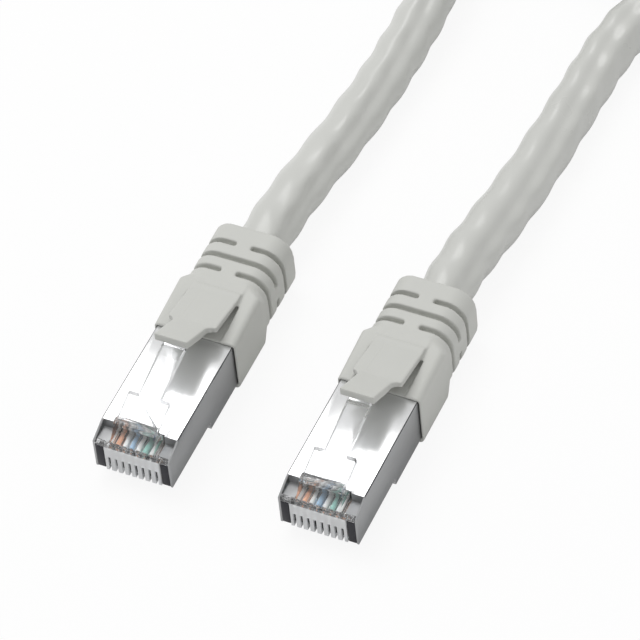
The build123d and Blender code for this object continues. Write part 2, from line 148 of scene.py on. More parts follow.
class Recipe:
    """A material under construction."""

    def __init__(self, name: str) -> None:
        """Start an empty material.

        Args:
            name: The material's name.
        """
        self.material = bpy.data.materials.new(name)
        self.material.use_nodes = True
        self.tree = self.material.node_tree
        self.tree.nodes.clear()
        self.output = self.tree.nodes.new("ShaderNodeOutputMaterial")

    def node(
        self,
        kind: str,
        settings: dict[str, Any] | None = None,
        inputs: dict[Any, Any] | None = None,
    ) -> Any:
        """Add one node, its settings first and its sockets after.

        Args:
            kind: The node's type.
            settings: Its properties, or "stops" for a colour ramp.
            inputs: Socket name or number to a value, a Value or an output socket.

        Returns:
            The new node.
        """
        made = self.tree.nodes.new(kind)
        for key, setting in (settings or {}).items():
            if key == "stops":
                self._stops(made, setting)
            else:
                setattr(made, key, setting)
        for key, given in (inputs or {}).items():
            socket = given.socket if isinstance(given, Value) else given
            if isinstance(socket, bpy.types.NodeSocket):
                self.tree.links.new(socket, made.inputs[key])
            else:
                made.inputs[key].default_value = socket
        return made

    @staticmethod
    def _stops(ramp: Any, stops: Sequence[tuple[float, Colour]]) -> None:
        """Set a colour ramp's stops."""
        elements = ramp.color_ramp.elements
        while len(elements) < len(stops):
            elements.new(1.0)
        for element, (place, colour) in zip(elements, stops):
            element.position = place
            element.color = (*colour, 1.0)

    def value(
        self,
        kind: str,
        settings: dict[str, Any] | None = None,
        inputs: dict[Any, Any] | None = None,
        out: Any = 0,
    ) -> Value:
        """Add one node and return one of its outputs as a value.

        Args:
            kind: The node's type.
            settings: Its properties.
            inputs: Its sockets.
            out: The output's name or number.

        Returns:
            That output.
        """
        return Value(self, self.node(kind, settings, inputs).outputs[out])

    def place(self) -> Any:
        """Return the Object coordinates."""
        return self.node("ShaderNodeTexCoord").outputs["Object"]

    def axes(self) -> tuple[Value, Value, Value]:
        """Return the Object coordinates as three values."""
        parts = self.node("ShaderNodeSeparateXYZ", inputs={0: self.place()}).outputs
        return Value(self, parts[0]), Value(self, parts[1]), Value(self, parts[2])

    def grain(self, scale: float, detail: float = 3.0) -> Value:
        """Return a noise that changes over 1 / scale metres."""
        return self.value(
            "ShaderNodeTexNoise", inputs={"Vector": self.place(), "Scale": scale, "Detail": detail}
        )

    def tint(self, factor: Value, low: Colour, high: Colour) -> Any:
        """Return a colour that runs from low, at factor 0, to high, at factor 1."""
        ramp = self.node("ShaderNodeValToRGB", {"stops": ((0.0, low), (1.0, high))}, {0: factor})
        return ramp.outputs[0]

    def bump(self, height: Value, strength: float, depth: float) -> Any:
        """Return a normal bent by a height, which stands for a depth in metres."""
        return self.node(
            "ShaderNodeBump", inputs={"Height": height, "Strength": strength, "Distance": depth}
        ).outputs[0]

    def shades(self, factor: Value, colour: Colour, low: float, high: float) -> Any:
        """Return a colour made darker by low at factor 0 and lighter by high at factor 1."""
        return self.tint(factor, shade(colour, low), shade(colour, high))

    def finish(self, inputs: dict[str, Any]) -> bpy.types.Material:
        """Add the surface shader and close the material.

        Args:
            inputs: The surface shader's sockets.

        Returns:
            The material.
        """
        return self.close(self.node("ShaderNodeBsdfPrincipled", inputs=inputs))

    def mix(self, share: Value, first: Any, second: Any) -> Any:
        """Return the node that mixes two shaders, the second by its share."""
        sockets = {0: share, 1: first.outputs[0], 2: second.outputs[0]}
        return self.node("ShaderNodeMixShader", inputs=sockets)

    def close(self, surface: Any) -> bpy.types.Material:
        """Link the last shader to the output and return the material."""
        self.tree.links.new(surface.outputs[0], self.output.inputs["Surface"])
        return self.material


def shade(colour: Colour, factor: float) -> Colour:
    """Return a colour made lighter or darker."""
    return tuple(min(1.0, part * factor) for part in colour)


# ---------------------------------------------------------------- finishes


@dataclass(frozen=True)
class MouldedSkin:
    """Satin moulded plastic with a fine grain and a faint bare panel outline."""

    panel_centre: Point
    colour: Colour = (0.585, 0.590, 0.560)
    grain_scale: float = 5200.0
    panel_half: tuple[float, float] = (2.7 * MM, 3.1 * MM)
    panel_corner: float = 0.5 * MM
    panel_line: float = 0.12 * MM
    panel_height: float = 2.2

    def build(self, name: str) -> bpy.types.Material:
        """Make the material.

        Args:
            name: The material's name.

        Returns:
            The material.
        """
        recipe = Recipe(name)
        cloud = recipe.grain(260.0)
        fine = recipe.grain(self.grain_scale, 2.0)
        height = fine + self._panel(recipe) * self.panel_height
        return recipe.finish(
            {
                "Base Color": recipe.shades(cloud, self.colour, 0.975, 1.02),
                "Roughness": cloud * 0.10 + 0.47,
                "Specular IOR Level": 0.35,
                "Normal": recipe.bump(height, 0.35, GRAIN_DEPTH),
            }
        )

    def _panel(self, recipe: Recipe) -> Value:
        """Return a thin rounded outline, 1 on the line and 0 off it."""
        x, y, _ = recipe.axes()
        half_x, half_y = (half - self.panel_corner for half in self.panel_half)
        out_x = (abs(x - self.panel_centre[0]) - half_x).greater(0.0)
        out_y = (abs(y - self.panel_centre[1]) - half_y).greater(0.0)
        reach = (out_x * out_x + out_y * out_y).root()
        return (1.0 - abs(reach - self.panel_corner) / self.panel_line).greater(0.0)


@dataclass(frozen=True)
class JacketSkin:
    """Smooth extruded jacket, a little softer and glossier than the boots."""

    colour: Colour = (0.60, 0.605, 0.578)

    def build(self, name: str) -> bpy.types.Material:
        """Make the material."""
        recipe = Recipe(name)
        cloud = recipe.grain(140.0)
        fine = recipe.grain(2600.0, 2.0)
        return recipe.finish(
            {
                "Base Color": recipe.shades(cloud, self.colour, 0.97, 1.03),
                "Roughness": cloud * 0.10 + 0.24,
                "Specular IOR Level": 0.6,
                "Normal": recipe.bump(fine, 0.12, GRAIN_DEPTH),
            }
        )


@dataclass(frozen=True)
class ClearPlastic:
    """Clear moulded polycarbonate with a painted white glint over its comb, whose shadow stays
    light.

    The comb lies in front of comb_rear, along Y, and under comb_top, along Z, both in metres.
    Its ribs are so narrow that their many small faces catch the light and look white; here that
    brightness is painted, a white diffuse share mixed in over the comb.
    """

    comb_rear: float
    comb_top: float
    comb_glint_share: float = 0.66
    painted_glint_white: Colour = (0.93, 0.94, 0.95)
    tint: Colour = (0.985, 0.99, 0.995)
    bending: float = 1.20
    clearness: float = 0.95

    def build(self, name: str) -> bpy.types.Material:
        """Make the material."""
        recipe = Recipe(name)
        fine = recipe.grain(900.0, 2.0)
        surface = recipe.node(
            "ShaderNodeBsdfPrincipled",
            inputs={
                "Base Color": (*self.tint, 1.0),
                "Roughness": 0.02,
                "IOR": self.bending,
                # Under 1 this leaves a faint white diffuse part, a painted milky highlight over the
                # whole body.
                "Transmission Weight": self.clearness,
                "Coat Weight": 0.6,
                "Coat Roughness": 0.03,
                "Normal": recipe.bump(fine, 0.10, GRAIN_DEPTH),
            },
        )
        through = recipe.node("ShaderNodeBsdfTransparent", inputs={"Color": (*self.painted_glint_white, 1.0)})
        shadow = recipe.value("ShaderNodeLightPath", out="Is Shadow Ray")
        painted_glint_white = recipe.node("ShaderNodeBsdfDiffuse", inputs={"Color": (*self.painted_glint_white, 1.0)})
        _, y, z = recipe.axes()
        # Painted glint: over the comb, a white diffuse share stands in for the light that the narrow
        # ribs catch.
        comb = (self.comb_rear - y).above(0.0) * (self.comb_top - z).above(0.0)
        body = recipe.mix(comb * self.comb_glint_share, surface, painted_glint_white)
        return recipe.close(recipe.mix(shadow, body, through))


@dataclass(frozen=True)
class PlatedSheet:
    """Nickel plated sheet, from polished (no lines) to drawn (lines 1)."""

    colour: Colour
    roughness: float
    lines: float
    metallic: float = 1.0
    line_scale: float = 4200.0
    line_stretch: float = 0.12

    def build(self, name: str) -> bpy.types.Material:
        """Make the material."""
        recipe = Recipe(name)
        place = recipe.place()
        scale = (1.0, self.line_stretch, 1.0)
        stretched = recipe.node(
            "ShaderNodeMapping", {"vector_type": "POINT"}, {"Vector": place, "Scale": scale}
        ).outputs[0]
        lines = recipe.value(
            "ShaderNodeTexNoise",
            inputs={"Vector": stretched, "Scale": self.line_scale, "Detail": 2.0},
        )
        cloud = recipe.grain(300.0)
        return recipe.finish(
            {
                "Base Color": recipe.shades(cloud, self.colour, 0.96, 1.03),
                "Metallic": self.metallic,
                "Roughness": cloud * 0.06 + self.roughness + lines * (0.12 * self.lines),
                "Normal": recipe.bump(lines, 0.10 + 0.25 * self.lines, GRAIN_DEPTH / 2),
            }
        )


@dataclass(frozen=True)
class BladePlating:
    """Stamped contact: gold flash near the cores, nickel below coloured near black as painted shade.
    """

    gold: Colour = (0.78, 0.62, 0.34)
    # Near black: painted shade of the blade slots, laid on the nickel's colour.
    nickel: Colour = (0.035, 0.035, 0.035)
    change_height: float = 5.2 * MM
    change_length: float = 1.2 * MM

    def build(self, name: str) -> bpy.types.Material:
        """Make the material."""
        recipe = Recipe(name)
        _, _, z = recipe.axes()
        mix = ((z - self.change_height) / self.change_length).greater(0.0).lesser(1.0)
        return recipe.finish(
            {
                "Base Color": recipe.tint(mix, self.nickel, self.gold),
                "Metallic": 1.0,
                "Roughness": recipe.grain(2000.0) * 0.15 + 0.18,
            }
        )


@dataclass(frozen=True)
class CoreInsulation:
    """Core insulation or bare filler plastic in one plain colour."""

    colour: Colour
    gloss: float = 0.3

    def build(self, name: str) -> bpy.types.Material:
        """Make the material."""
        recipe = Recipe(name)
        cloud = recipe.grain(800.0)
        return recipe.finish(
            {
                "Base Color": recipe.shades(cloud, self.colour, 0.93, 1.05),
                "Roughness": cloud * 0.1 + self.gloss,
            }
        )


@dataclass(frozen=True)
class BareMetal:
    """Plain drawn wire, braid or crimped sleeve."""

    colour: Colour
    weave_scale: float = 3000.0

    def build(self, name: str) -> bpy.types.Material:
        """Make the material."""
        recipe = Recipe(name)
        weave = recipe.grain(self.weave_scale, 1.0)
        return recipe.finish(
            {
                "Base Color": recipe.shades(weave, self.colour, 0.8, 1.1),
                "Metallic": 1.0,
                "Roughness": weave * 0.2 + 0.25,
                "Normal": recipe.bump(weave, 0.3, GRAIN_DEPTH),
            }
        )


@dataclass(frozen=True)
class HookLoop:
    """Black hook-and-loop strap with a short pile."""

    colour: Colour = (0.020, 0.020, 0.022)

    def build(self, name: str) -> bpy.types.Material:
        """Make the material."""
        recipe = Recipe(name)
        pile = recipe.grain(2600.0, 4.0)
        return recipe.finish(
            {
                "Base Color": recipe.shades(pile, self.colour, 0.5, 2.6),
                "Roughness": 0.9,
                "Sheen Weight": 0.3,
                "Normal": recipe.bump(pile, 0.8, 10 * GRAIN_DEPTH),
            }
        )


# ---------------------------------------------------------------- modelling


class Workbench:
    """Modelling steps shared by the pieces, done with operators as by hand."""

    @staticmethod
    def only(obj: bpy.types.Object) -> None:
        """Select one object and nothing else."""
        bpy.ops.object.select_all(action="DESELECT")
        obj.select_set(True)
        bpy.context.view_layer.objects.active = obj

    @classmethod
    def settle(cls, name: str) -> bpy.types.Object:
        """Name the active object and move its place into its mesh."""
        obj = bpy.context.object
        obj.name = name
        cls.only(obj)
        bpy.ops.object.transform_apply(location=True, rotation=True, scale=True)
        return obj

    @classmethod
    def block(cls, name: str, low: Sequence[float], high: Sequence[float]) -> bpy.types.Object:
        """Add a box between two corners."""
        centre = [(a + b) / 2 for a, b in zip(low, high)]
        size = [abs(b - a) for a, b in zip(low, high)]
        bpy.ops.object.select_all(action="DESELECT")
        bpy.ops.mesh.primitive_cube_add(size=1.0, location=centre, scale=size)
        return cls.settle(name)

    @classmethod
    def cross_rod(
        cls, name: str, centre: Sequence[float], radius: float, half: float
    ) -> bpy.types.Object:
        """Add a round bar along X.

        Args:
            name: The new piece's name.
            centre: Its middle.
            radius: Its radius.
            half: Half its length.

        Returns:
            The new object.
        """
        bpy.ops.object.select_all(action="DESELECT")
        bpy.ops.mesh.primitive_cylinder_add(
            vertices=48,
            radius=radius,
            depth=2 * half,
            location=centre,
            rotation=(0.0, math.pi / 2, 0.0),
        )
        return cls.settle(name)

    @classmethod
    def modify(cls, obj: bpy.types.Object, kind: str, **settings: Any) -> None:
        """Add one modifier and apply it.

        Args:
            obj: The piece.
            kind: The modifier's type.
            settings: Its properties.
        """
        modifier = obj.modifiers.new(kind.lower(), kind)
        for key, setting in settings.items():
            setattr(modifier, key, setting)
        cls.only(obj)
        bpy.ops.object.modifier_apply(modifier=modifier.name)

    @classmethod
    def combine(cls, obj: bpy.types.Object, other: bpy.types.Object, operation: str) -> None:
        """Cut, join or intersect with another object, which is used up."""
        cls.modify(obj, "BOOLEAN", operation=operation, solver="EXACT", object=other)
        bpy.data.objects.remove(other, do_unlink=True)

    @classmethod
    def round_edges(cls, obj: bpy.types.Object, width: float, segments: int, **limits: Any) -> None:
        """Bevel a piece's sharp edges by a width in millimetres."""
        cls.modify(obj, "BEVEL", width=width * MM, segments=segments, limit_method="ANGLE", **limits)

    @classmethod
    def copy_node(cls, name: str, node: str, flatten: bool = True) -> bpy.types.Object:
        """Copy a CAD node's mesh, merge its points and dissolve its flat triangles.

        Args:
            name: The new piece's name.
            node: The CAD node.
            flatten: False to leave the triangles.

        Returns:
            The new object.
        """
        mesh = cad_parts[node].data.copy()
        mesh.materials.clear()
        obj = bpy.data.objects.new(name, mesh)
        bpy.context.scene.collection.objects.link(obj)
        cls.only(obj)
        bpy.ops.object.mode_set(mode="EDIT")
        bpy.ops.mesh.select_all(action="SELECT")
        bpy.ops.mesh.remove_doubles(threshold=MERGE_GAP)
        if flatten:
            bpy.ops.mesh.dissolve_limited(angle_limit=FLAT_ANGLE)
        bpy.ops.object.mode_set(mode="OBJECT")
        return obj

    @classmethod
    def join(cls, name: str, pieces: Sequence[bpy.types.Object]) -> bpy.types.Object:
        """Join objects into one without changing their surfaces."""
        cls.only(pieces[0])
        for piece in pieces[1:]:
            piece.select_set(True)
        bpy.ops.object.join()
        pieces[0].name = name
        return pieces[0]

    @classmethod
    def soften(cls, obj: bpy.types.Object, degrees: float = 30.0) -> None:
        """Shade smooth except over sharp edges."""
        cls.only(obj)
        bpy.ops.object.shade_smooth_by_angle(angle=math.radians(degrees))

    @staticmethod
    def dress(
        obj: bpy.types.Object, materials: Sequence[bpy.types.Material], slot: str
    ) -> None:
        """Give a piece its materials, keeping each face's choice.

        Args:
            obj: The piece.
            materials: Its materials, in the order of its faces' numbers.
            slot: The record's material slot; not used.
        """
        chosen = [face.material_index for face in obj.data.polygons]
        obj.data.materials.clear()
        for material in materials:
            obj.data.materials.append(material)
        obj.data.polygons.foreach_set("material_index", chosen)


@dataclass
class PlugPlace:
    """Turns a plug end's own millimetres into the shared frame.

    boot_depth is how far the boot reaches below the plug's contact side.
    """

    end: End
    boot_depth: float = 2.2
    centre_x: float = field(init=False)
    nose_y: float = field(init=False)
    contact_z: float = field(init=False)

    def __post_init__(self) -> None:
        """Read the plug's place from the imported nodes."""
        low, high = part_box(f"boot_{self.end.value}")
        self.centre_x = (low.x + high.x) / 2
        self.nose_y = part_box(f"housing_{self.end.value}")[0].y
        self.contact_z = low.z + self.boot_depth * MM

    def at(self, x: float, y: float, z: float) -> Point:
        """Return a place given across, along from the nose, and above the contact side."""
        return self.centre_x + x * MM, self.nose_y + y * MM, self.contact_z + z * MM


# ---------------------------------------------------------------- the plug ends


@dataclass
class ClearBody:
    """The clear housing and its latch, moulded as one with a thin hinge at the nose."""

    place: PlugPlace
    hinge: tuple[float, float] = (2.4, 7.7)
    hinge_radius: float = 0.95
    latch_half: float = 3.11
    bend_low: float = 7.25
    bend_high: float = 8.15
    bar_half: float = 4.15
    bar_depth: float = 0.32
    bar_rise: tuple[float, float] = (2.7, 4.7)
    corner_span: tuple[float, float] = (4.2, 5.7)
    corner_depth: float = 0.9
    corner_top: float = 4.75

    def build(self) -> bpy.types.Object:
        """Make the piece."""
        tag = self.place.end.value
        body = Workbench.copy_node(f"clear_body_{tag}", f"housing_{tag}")
        latch = Workbench.copy_node("latch_copy", f"latch_{tag}")
        Workbench.combine(body, self._hinge_web(), "UNION")
        Workbench.combine(body, latch, "UNION")
        Workbench.combine(body, self._front_bar(), "UNION")
        for side in (-1, 1):
            Workbench.combine(body, self._corner(side), "DIFFERENCE")
        Workbench.round_edges(body, 0.07, 2, angle_limit=math.radians(40))
        Workbench.soften(body, MOULDED_ANGLE)
        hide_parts(f"housing_{tag}", f"latch_{tag}")
        low, high = (self.place.at(0, 0, bend) for bend in (self.bend_low, self.bend_high))
        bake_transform(body)
        return body

    def _hinge_web(self) -> bpy.types.Object:
        """Return the thin web between the nose block and the latch."""
        centre = self.place.at(0, *self.hinge)
        return Workbench.cross_rod(
            "hinge_web", centre, self.hinge_radius * MM, self.latch_half * MM
        )

    def _front_bar(self) -> bpy.types.Object:
        """Return the bar that closes the blades' slots over their contact edges."""
        base, top = self.bar_rise
        low = self.place.at(-self.bar_half, 0.0, base)
        high = self.place.at(self.bar_half, self.bar_depth, top)
        return Workbench.block("front_bar", low, high)

    def _corner(self, side: int) -> bpy.types.Object:
        """Return the cutter that makes room for a shield lip at one nose corner."""
        left, right = sorted(side * reach for reach in self.corner_span)
        low = self.place.at(left, -1, -0.5)
        high = self.place.at(right, self.corner_depth, self.corner_top)
        return Workbench.block("corner", low, high)


class SheetFace(IntEnum):
    """The shield's finishes, in the order of its materials: polished, drawn with its colour darkened
    as a painted dark reflection, and near black as a painted dark reflection.
    """

    POLISHED = 0
    DRAWN_PAINTED_DARK = 1
    DARK = 2


@dataclass
class ShieldSheet:
    """The folded nickel shield with its lips at the nose corners."""

    place: PlugPlace
    lip_span: tuple[float, float] = (4.25, 5.6)
    lip_depth: tuple[float, float] = (0.05, 0.55)
    lip_rise: tuple[float, float] = (0.15, 4.65)
    notch_end: float = 3.7

    def build(self) -> bpy.types.Object:
        """Make the piece and let it ride on the root."""
        tag = self.place.end.value
        sheet = Workbench.copy_node(f"shield_sheet_{tag}", f"shield_{tag}")
        Workbench.round_edges(sheet, 0.06, 2, angle_limit=math.radians(50))
        lips = [self._lip(side) for side in (-1, 1)]
        count = len(sheet.data.polygons)
        piece = Workbench.join(f"shield_sheet_{tag}", [sheet, *lips])
        self._sort_faces(piece, count)
        Workbench.soften(piece, MOULDED_ANGLE)
        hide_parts(f"shield_{tag}")
        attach(piece, ROOT_BODY)
        return piece

    def _lip(self, side: int) -> bpy.types.Object:
        """Return one lip, a small plate with rounded edges."""
        left, right = sorted(side * reach for reach in self.lip_span)
        (front, base), (rear, top) = zip(self.lip_depth, self.lip_rise)
        lip = Workbench.block(
            "lip", self.place.at(left, front, base), self.place.at(right, rear, top)
        )
        Workbench.round_edges(lip, 0.22, 4)
        return lip

    def _sort_faces(self, piece: bpy.types.Object, sheet_faces: int) -> None:
        """Give the sides and notches the drawn finish, partly darkened as a painted dark reflection,
        and the lips and long edges the near black one, a painted dark reflection.

        Args:
            piece: The shield with its lips.
            sheet_faces: How many faces the sheet itself has.
        """
        notch = self.place.at(0, self.notch_end, 0)[1]
        # The lips and the long edges' fillets take a painted dark reflection; the sides take the
        # drawn finish, darkened as a painted dark reflection.
        for face in piece.data.polygons:
            across, along, _ = (abs(part) for part in face.normal)
            in_notch = (across < 0.3 or along > 0.6) and face.center.y < notch
            if face.index >= sheet_faces:
                face.material_index = SheetFace.DARK
            elif across > 0.8 or in_notch:
                face.material_index = SheetFace.DRAWN_PAINTED_DARK
            elif across > 0.35:
                face.material_index = SheetFace.DARK
            else:
                face.material_index = SheetFace.POLISHED


@dataclass
class BootSkin:
    """The boot and its sprung latch guard as one moulded skin."""

    place: PlugPlace
    voxel: float = 0.16
    hinge: tuple[float, float] = (28.6, 7.5)
    bend_low: float = 8.0
    bend_high: float = 8.5
    root_radius: float = 0.95
    root_half: float = 3.7
    pad_front: float = 0.4
    pad_rear: float = 2.4
    pad_drop: float = 0.8
    pad_top: float = 8.05

    def build(self) -> bpy.types.Object:
        """Make the piece."""
        tag = self.place.end.value
        boot = Workbench.copy_node("boot_copy", f"boot_{tag}", flatten=False)
        guard = Workbench.copy_node("guard_copy", f"latch_guard_{tag}", flatten=False)
        skin = Workbench.join(f"boot_skin_{tag}", [boot, guard, *self._root_fill()])
        Workbench.modify(skin, "REMESH", mode="VOXEL", voxel_size=self.voxel * MM)
        Workbench.modify(skin, "SMOOTH", factor=0.5, iterations=5)
        Workbench.only(skin)
        bpy.ops.object.shade_smooth()
        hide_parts(f"boot_{tag}", f"latch_guard_{tag}")
        low, high = (self.place.at(0, 0, bend) for bend in (self.bend_low, self.bend_high))
        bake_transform(skin)
        return skin

    def _root_fill(self) -> list[bpy.types.Object]:
        """Return the solids that close the gap round the guard's root."""
        y, z = self.hinge
        rod = Workbench.cross_rod(
            "root_rod", self.place.at(0, y, z), self.root_radius * MM, self.root_half * MM
        )
        low = self.place.at(-self.root_half, y - self.pad_front, z - self.pad_drop)
        high = self.place.at(self.root_half, y + self.pad_rear, self.pad_top)
        return [rod, Workbench.block("root_pad", low, high)]


# ---------------------------------------------------------------- the lead


@dataclass
class Lead:
    """The free lead from one boot to the other, with its coiled length.

    Lengths are in millimetres, but for length itself, and angles in degrees. The surface shows
    the twisted pairs: a crease with a lip beside it, two ridges and small knots.
    """

    radius: float = 3.6
    turn_inner: float = 31.4
    turn_outer: float = 38.6
    coil_centre: tuple[float, float] = (3.9, 130.0)
    start_angle: float = -39.2
    end_angle: float = 1299.2
    change_angle: float = 250.0
    change_width: float = 60.0
    change_inward: float = 2.0
    change_height: float = 2.1
    change_lift: float = 0.8
    step: float = 20.0
    sides: int = 56
    ring_gap: float = 0.8
    lay_length: float = -434.0
    lay_start: float = 0.9
    ripple_length: float = 6.4
    crease_start: float = 0.64
    crease_width: float = 0.30
    crease_depth: float = 0.125
    lip_offset: float = 0.50
    lip_width: float = 0.24
    lip_height: float = 0.045
    lip_ripple: float = 0.8
    ridge_height: float = 0.030
    knot_height: float = 0.036
    knot_rate: float = 0.93
    knot_wander: float = 1.7
    wander_length: float = 9.3
    boot_place: float = 17.0
    boot_width: float = 18.0
    boot_swell: float = 0.085
    length: float = 0.99
    route_a: tuple[Point, ...] = (
        (14.0, 20.5, 5.1),
        (14.0, 27.8, 5.1),
        (15.1, 37.0, 4.5),
        (16.1, 48.0, 3.7),
        (16.8, 62.5, 3.6),
        (17.5, 80.1, 3.6),
        (23.3, 94.4, 3.6),
        (33.9, 105.6, 3.6),
    )
    route_b: tuple[Point, ...] = (
        (-14.0, 20.5, 5.1),
        (-14.0, 27.8, 5.1),
        (-13.3, 37.0, 4.5),
        (-12.1, 48.0, 3.7),
        (-11.0, 62.5, 3.7),
        (-10.5, 80.1, 5.6),
        (-15.8, 94.5, 8.5),
        (-26.2, 105.9, 10.8),
    )

    def build(self, strap: bpy.types.Object) -> bpy.types.Object:
        """Args:
            strap: The strap that holds the turns; not used.

        Returns:
            The jacket.
        """
        line = self._line()
        jacket = self._tube(line)
        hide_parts("cable_tail_a", "cable_tail_b", "cable_coil")
        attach(jacket, ROOT_BODY)
        return jacket

    def _turn(self, angle: float) -> tuple[float, float]:
        """Return the distance from the coil's centre and the height at an angle.

        The turns lie outer low, inner low, inner high and outer high. Between two of them the
        lead runs through a middle point that keeps it clear of the turns beside it.

        Args:
            angle: Degrees along the winding.

        Returns:
            Distance and height, in millimetres.
        """
        low, high = self.radius, 3 * self.radius
        inner, outer = self.turn_inner, self.turn_outer
        mid = (inner + outer) / 2
        stays = [(outer, low), (inner, low), (inner, high), (outer, high)]
        mids = [
            (mid, low),
            (inner - self.change_inward, self.change_height * self.radius),
            (mid, high + self.change_lift),
        ]
        last = len(mids)
        turn = 0
        while turn < last and angle > self.change_angle + 360.0 * turn + self.change_width:
            turn += 1
        part = (angle - self.change_angle - 360.0 * turn) / self.change_width
        if turn == last or part <= 0.0:
            return stays[turn]
        start, end = (stays[turn], mids[turn]) if part < 0.5 else (mids[turn], stays[turn + 1])
        share = 2 * part if part < 0.5 else 2 * part - 1
        return tuple(a + (b - a) * share for a, b in zip(start, end))

    def _points(self) -> list[Point]:
        """Return the control points of the whole lead, in millimetres.

        The points of the coil lie a little outside it, since the spline runs inside them.
        """
        points = list(self.route_a)
        swell = 2.0 / (1.0 + math.cos(math.radians(self.step / 2)))
        angle = self.start_angle + self.step
        while angle < self.end_angle - 0.5 * self.step:
            distance, height = self._turn(angle)
            x = self.coil_centre[0] + distance * swell * math.cos(math.radians(angle))
            y = self.coil_centre[1] + distance * swell * math.sin(math.radians(angle))
            points.append((x, y, height))
            angle += self.step
        return points + list(reversed(self.route_b))

    def _line(self) -> np.ndarray:
        """Return close points along the smooth spline through the route, in metres."""
        points = self._points()
        curve = bpy.data.curves.new("lead_route", "CURVE")
        curve.dimensions = "3D"
        curve.resolution_u = 24
        spline = curve.splines.new("NURBS")
        spline.points.add(len(points) - 1)
        for target, point in zip(spline.points, points):
            target.co = (point[0] * MM, point[1] * MM, point[2] * MM, 1.0)
        spline.order_u = 3
        spline.use_endpoint_u = True
        holder = bpy.data.objects.new("lead_route", curve)
        bpy.context.scene.collection.objects.link(holder)
        bpy.context.view_layer.update()
        graph = bpy.context.evaluated_depsgraph_get()
        mesh = bpy.data.meshes.new_from_object(holder.evaluated_get(graph))
        line = np.array([vertex.co for vertex in mesh.vertices])
        bpy.data.objects.remove(holder, do_unlink=True)
        bpy.data.meshes.remove(mesh)
        return self._even(line)

    def _even(self, line: np.ndarray) -> np.ndarray:
        """Return the same line with evenly spaced points."""
        steps = np.linalg.norm(np.diff(line, axis=0), axis=1)
        along = np.concatenate([[0.0], np.cumsum(steps)])
        count = int(along[-1] / (self.ring_gap * MM)) + 1
        places = np.linspace(0.0, along[-1], count)
        return np.stack([np.interp(places, along, line[:, axis]) for axis in range(3)], axis=1)

    def _tube(self, line: np.ndarray) -> bpy.types.Object:
        """Return the jacket, with the pairs showing through it and its underside on the table."""
        tangents = np.gradient(line, axis=0)
        tangents /= np.linalg.norm(tangents, axis=1)[:, None]
        across = np.cross(tangents[0], (0.0, 0.0, 1.0))
        rings = []
        travelled = 0.0
        for index, (centre, tangent) in enumerate(zip(line, tangents)):
            across = across - tangent * np.dot(across, tangent)
            across /= np.linalg.norm(across)
            over = np.cross(tangent, across)
            if index:
                travelled += float(np.linalg.norm(centre - line[index - 1]))
            turns = np.arange(self.sides) * (2 * math.pi / self.sides)
            swell = self._swell(turns, travelled / MM)
            ring = centre + (self.radius * MM * swell)[:, None] * (
                np.cos(turns)[:, None] * across + np.sin(turns)[:, None] * over
            )
            ring[:, 2] = np.maximum(ring[:, 2], 0.0)
            rings.append(ring)
        return self._mesh(np.array(rings))

    def _swell(self, turns: np.ndarray, along: float) -> np.ndarray:
        """Return the jacket's radius round one ring, as a share of the plain radius.

        Args:
            turns: Angles round the ring, in radians.
            along: Distance from the first boot, in millimetres.

        Returns:
            One share for each angle.
        """
        lay = 2 * math.pi * along / self.lay_length
        ripple = 2 * math.pi * along / self.ripple_length
        round_lay = turns - lay + self.crease_start
        off = (round_lay + math.pi) % (2 * math.pi) - math.pi
        crease = np.exp(-((off / self.crease_width) ** 2))
        lip = np.exp(-(((off - self.lip_offset) / self.lip_width) ** 2))
        lip *= 1.0 + self.lip_ripple * math.cos(ripple)
        ridge = np.cos(2 * round_lay + self.lay_start)
        wander = self.knot_wander * math.sin(along / self.wander_length)
        knots = np.cos(ripple * self.knot_rate + wander + 2 * turns)
        near_boot = math.exp(-(((along - self.boot_place) / self.boot_width) ** 2))
        return (
            1.0
            + self.ridge_height * ridge
            + self.knot_height * knots
            - self.crease_depth * crease
            + self.lip_height * lip
            + self.boot_swell * near_boot
        )

    @staticmethod
    def _mesh(rings: np.ndarray) -> bpy.types.Object:
        """Return a closed tube through rings of points."""
        count, sides = rings.shape[:2]
        faces = []
        for ring in range(count - 1):
            for side in range(sides):
                near = ring * sides + side
                far = ring * sides + (side + 1) % sides
                faces.append((near, near + sides, far + sides, far))
        faces.append(tuple(range(sides)))
        faces.append(tuple(reversed(range((count - 1) * sides, count * sides))))
        mesh = bpy.data.meshes.new("lead_jacket")
        mesh.from_pydata(rings.reshape(-1, 3).tolist(), [], faces)
        obj = bpy.data.objects.new("lead_jacket", mesh)
        bpy.context.scene.collection.objects.link(obj)
        Workbench.only(obj)
        bpy.ops.object.mode_set(mode="EDIT")
        bpy.ops.mesh.select_all(action="SELECT")
        bpy.ops.mesh.normals_make_consistent(inside=False)
        bpy.ops.object.mode_set(mode="OBJECT")
        Workbench.soften(obj, 60.0)
        return obj


@dataclass
class Strap:
    """The hook-and-loop strap round the coil, with its free end laid over."""

    tab_length: float = 9.0
    tab_inset: float = 0.4
    tab_end: float = 2.5
    tab_sink: float = 0.5
    tab_rise: float = 0.35

    def build(self) -> bpy.types.Object:
        """Make the strap and let it ride on the root."""
        low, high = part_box("coil_tie")
        band = Workbench.copy_node("coil_strap", "coil_tie")
        inset = self.tab_inset * MM
        tab_low = (low.x + inset, high.y - self.tab_length * MM, high.z - self.tab_sink * MM)
        tab_high = (high.x - inset, high.y - self.tab_end * MM, high.z + self.tab_rise * MM)
        Workbench.combine(band, Workbench.block("tab", tab_low, tab_high), "UNION")
        Workbench.round_edges(band, 0.25, 3)
        Workbench.soften(band)
        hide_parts("coil_tie")
        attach(band, ROOT_BODY)
        return band


# ---------------------------------------------------------------- the studio


